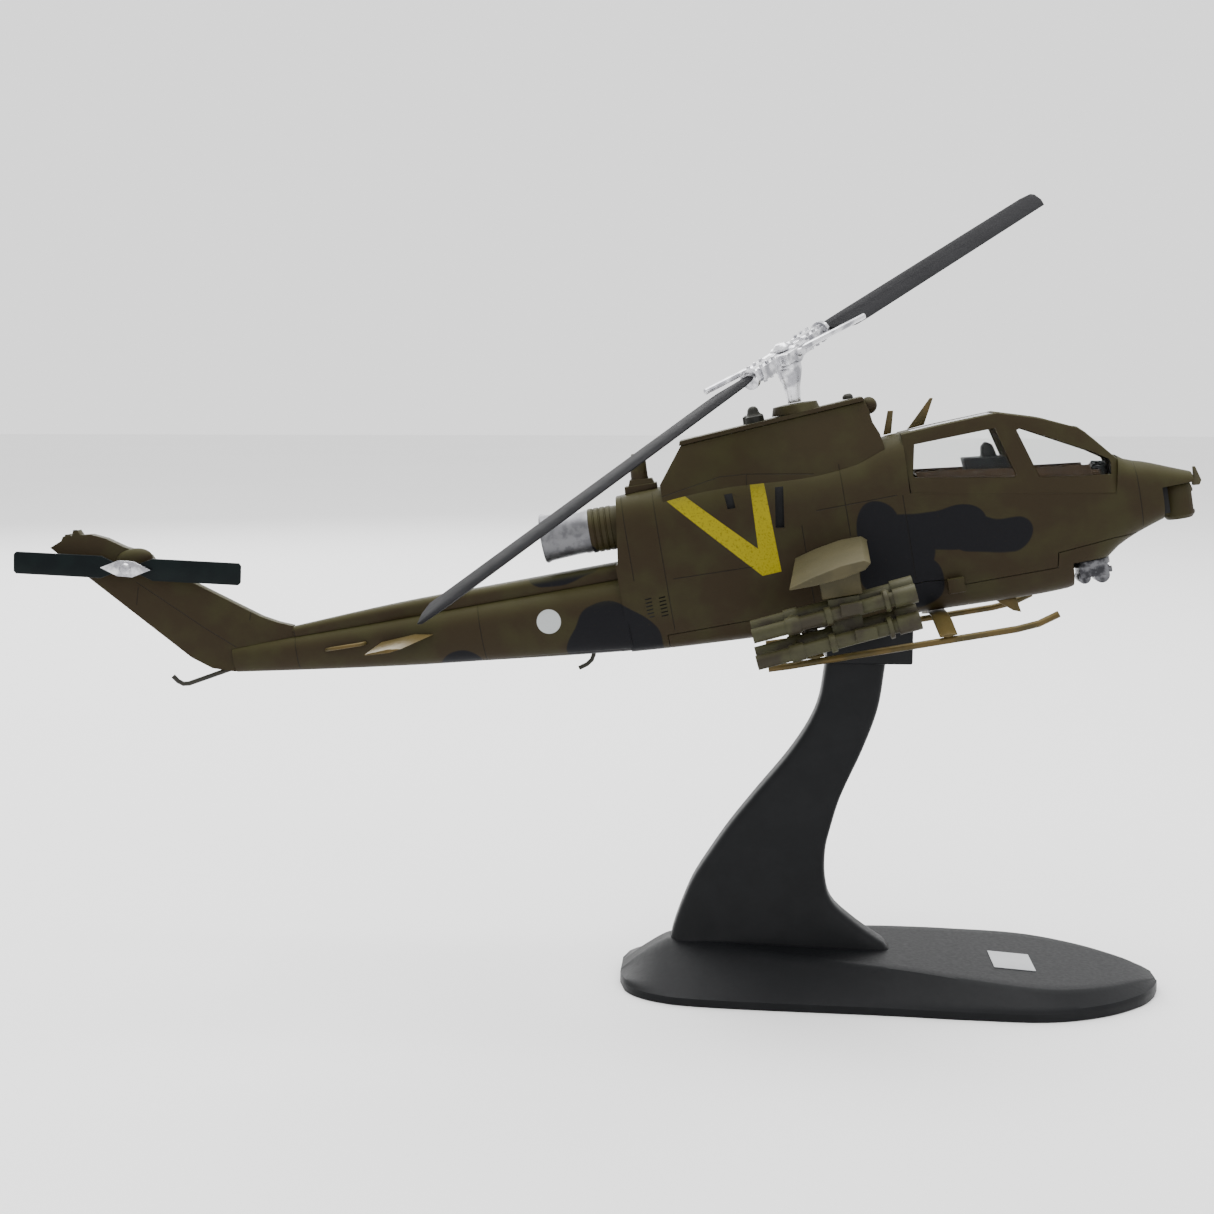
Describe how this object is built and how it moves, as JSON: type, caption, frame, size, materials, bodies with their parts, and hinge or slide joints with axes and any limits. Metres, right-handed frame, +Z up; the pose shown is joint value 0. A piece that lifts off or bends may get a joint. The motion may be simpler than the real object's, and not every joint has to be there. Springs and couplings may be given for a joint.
{
  "type": "display model helicopter",
  "caption": "Desk display model of a slim two-seat attack helicopter hanging nose-up on a curved black stand; rotors spin, the head teeters, the chin turret turns.",
  "frame": {"origin": "centre of the stand's flat underside", "axes": "+X towards the nose, +Y to port, +Z up"},
  "size_m": [0.1954, 0.1439, 0.1368],
  "materials": {
    "fuselage_body": "satin dark olive-brown paint over die-cast metal",
    "belly_pan": "satin dark olive-brown paint over die-cast metal",
    "tail_boom": "satin dark olive-brown paint over die-cast metal",
    "boom_spine": "satin dark olive-brown paint over die-cast metal",
    "tail_fin": "satin dark olive-brown paint over die-cast metal",
    "tail_gearbox": "satin dark olive-brown paint over die-cast metal",
    "rotor_pylon": "satin dark olive-brown paint over die-cast metal",
    "pylon_cap": "satin dark olive-brown paint over die-cast metal",
    "jammer_base": "satin dark olive-brown paint over die-cast metal",
    "exhaust_duct": "matt dark olive paint on plastic",
    "jammer_head": "matt dark olive paint on plastic",
    "nose_sight": "matt dark olive paint on plastic",
    "nose_probe": "matt dark olive paint on plastic",
    "roof_aerial": "matt dark olive paint on plastic",
    "belly_aerial": "matt dark olive paint on plastic",
    "beacon_ball": "matt dark olive paint on plastic",
    "wing_starboard": "matt olive paint on plastic",
    "wing_port": "matt olive paint on plastic",
    "launcher_upper_starboard": "matt olive paint on plastic",
    "launcher_upper_port": "matt olive paint on plastic",
    "launcher_lower_starboard": "matt olive paint on plastic",
    "launcher_lower_port": "matt olive paint on plastic",
    "skid_starboard": "bronze-olive paint on plastic",
    "skid_port": "bronze-olive paint on plastic",
    "cross_tube_front": "bronze-olive paint on plastic",
    "cross_tube_rear": "bronze-olive paint on plastic",
    "elevator_starboard": "bronze-olive paint on plastic",
    "elevator_port": "bronze-olive paint on plastic",
    "handrail_starboard": "bronze-olive paint on plastic",
    "handrail_port": "bronze-olive paint on plastic",
    "tail_skid": "bronze-olive paint on plastic",
    "upper_wire_cutter": "bronze-olive paint on plastic",
    "lower_wire_cutter": "bronze-olive paint on plastic",
    "main_blade_a": "dark grey, satin",
    "main_blade_b": "dark grey, satin",
    "tail_blade_front": "near black, satin",
    "tail_blade_rear": "near black, satin",
    "rear_dome": "near black, satin",
    "front_dome": "near black, satin",
    "rotor_mast": "bright turned steel",
    "rotor_hub": "bright silver",
    "rotor_cap": "bright silver",
    "tail_rotor_hub": "bright silver",
    "exhaust_nozzle": "dull dark silver",
    "chin_turret": "dull dark silver",
    "base_screw_rear": "plain steel screw",
    "base_screw_front": "plain steel screw",
    "stand_base": "satin black moulded plastic",
    "stand_column": "satin black moulded plastic",
    "stand_cradle": "satin black moulded plastic",
    "cockpit_tub": "brown interior",
    "pilot_seat": "dark grey interior",
    "gunner_seat": "dark grey interior",
    "pilot_panel": "dark grey interior",
    "gunner_sight_hood": "dark grey interior",
    "canopy": "clear moulded plastic with painted frames"
  },
  "bodies": {
    "stand": {"stand_base": "stand_base", "stand_column": "stand_column", "stand_cradle": "stand_cradle", "base_screw_rear": "base_screw_rear", "base_screw_front": "base_screw_front"},
    "main_rotor": {"rotor_mast": "rotor_mast"},
    "rotor_head": {"rotor_hub": "rotor_hub", "rotor_cap": "rotor_cap", "main_blade_a": "main_blade_a", "main_blade_b": "main_blade_b"},
    "tail_rotor": {"tail_rotor_hub": "tail_rotor_hub", "tail_blade_front": "tail_blade_front", "tail_blade_rear": "tail_blade_rear"},
    "turret": {"chin_turret": "chin_turret"},
    "airframe": {"fuselage_body": "fuselage_body", "belly_pan": "belly_pan", "tail_boom": "tail_boom", "boom_spine": "boom_spine", "tail_fin": "tail_fin", "tail_gearbox": "tail_gearbox", "rotor_pylon": "rotor_pylon", "pylon_cap": "pylon_cap", "jammer_base": "jammer_base", "exhaust_duct": "exhaust_duct", "jammer_head": "jammer_head", "nose_sight": "nose_sight", "nose_probe": "nose_probe", "roof_aerial": "roof_aerial", "belly_aerial": "belly_aerial", "beacon_ball": "beacon_ball", "wing_starboard": "wing_starboard", "wing_port": "wing_port", "launcher_upper_starboard": "launcher_upper_starboard", "launcher_upper_port": "launcher_upper_port", "launcher_lower_starboard": "launcher_lower_starboard", "launcher_lower_port": "launcher_lower_port", "skid_starboard": "skid_starboard", "skid_port": "skid_port", "cross_tube_front": "cross_tube_front", "cross_tube_rear": "cross_tube_rear", "elevator_starboard": "elevator_starboard", "elevator_port": "elevator_port", "handrail_starboard": "handrail_starboard", "handrail_port": "handrail_port", "tail_skid": "tail_skid", "upper_wire_cutter": "upper_wire_cutter", "lower_wire_cutter": "lower_wire_cutter", "rear_dome": "rear_dome", "front_dome": "front_dome", "exhaust_nozzle": "exhaust_nozzle", "cockpit_tub": "cockpit_tub", "pilot_seat": "pilot_seat", "gunner_seat": "gunner_seat", "pilot_panel": "pilot_panel", "gunner_sight_hood": "gunner_sight_hood", "canopy": "canopy"}
  },
  "joints": [
    {"name": "lift_off", "type": "slide", "parent": "stand", "child": "airframe", "axis": [-0.1736, 0, 0.9848], "range_m": [0, 0.03]},
    {"name": "main_rotor_spin", "type": "hinge", "parent": "airframe", "child": "main_rotor", "pos_m": [-0.0164, 0, 0.097], "axis": [-0.1736, 0, 0.9848], "continuous": true},
    {"name": "rotor_teeter", "type": "hinge", "parent": "main_rotor", "child": "rotor_head", "pos_m": [-0.01774, 0, 0.10458], "axis": [-0.7803, 0.6101, -0.1376], "range_deg": [0, 30.6]},
    {"name": "tail_rotor_spin", "type": "hinge", "parent": "airframe", "child": "tail_rotor", "pos_m": [-0.12698, -0.0038, 0.06938], "axis": [0, 1, 0], "continuous": true},
    {"name": "turret_yaw", "type": "hinge", "parent": "airframe", "child": "turret", "pos_m": [0.03185, 0, 0.07098], "axis": [-0.1736, 0, 0.9848], "range_deg": [-110, 110]}
  ]
}
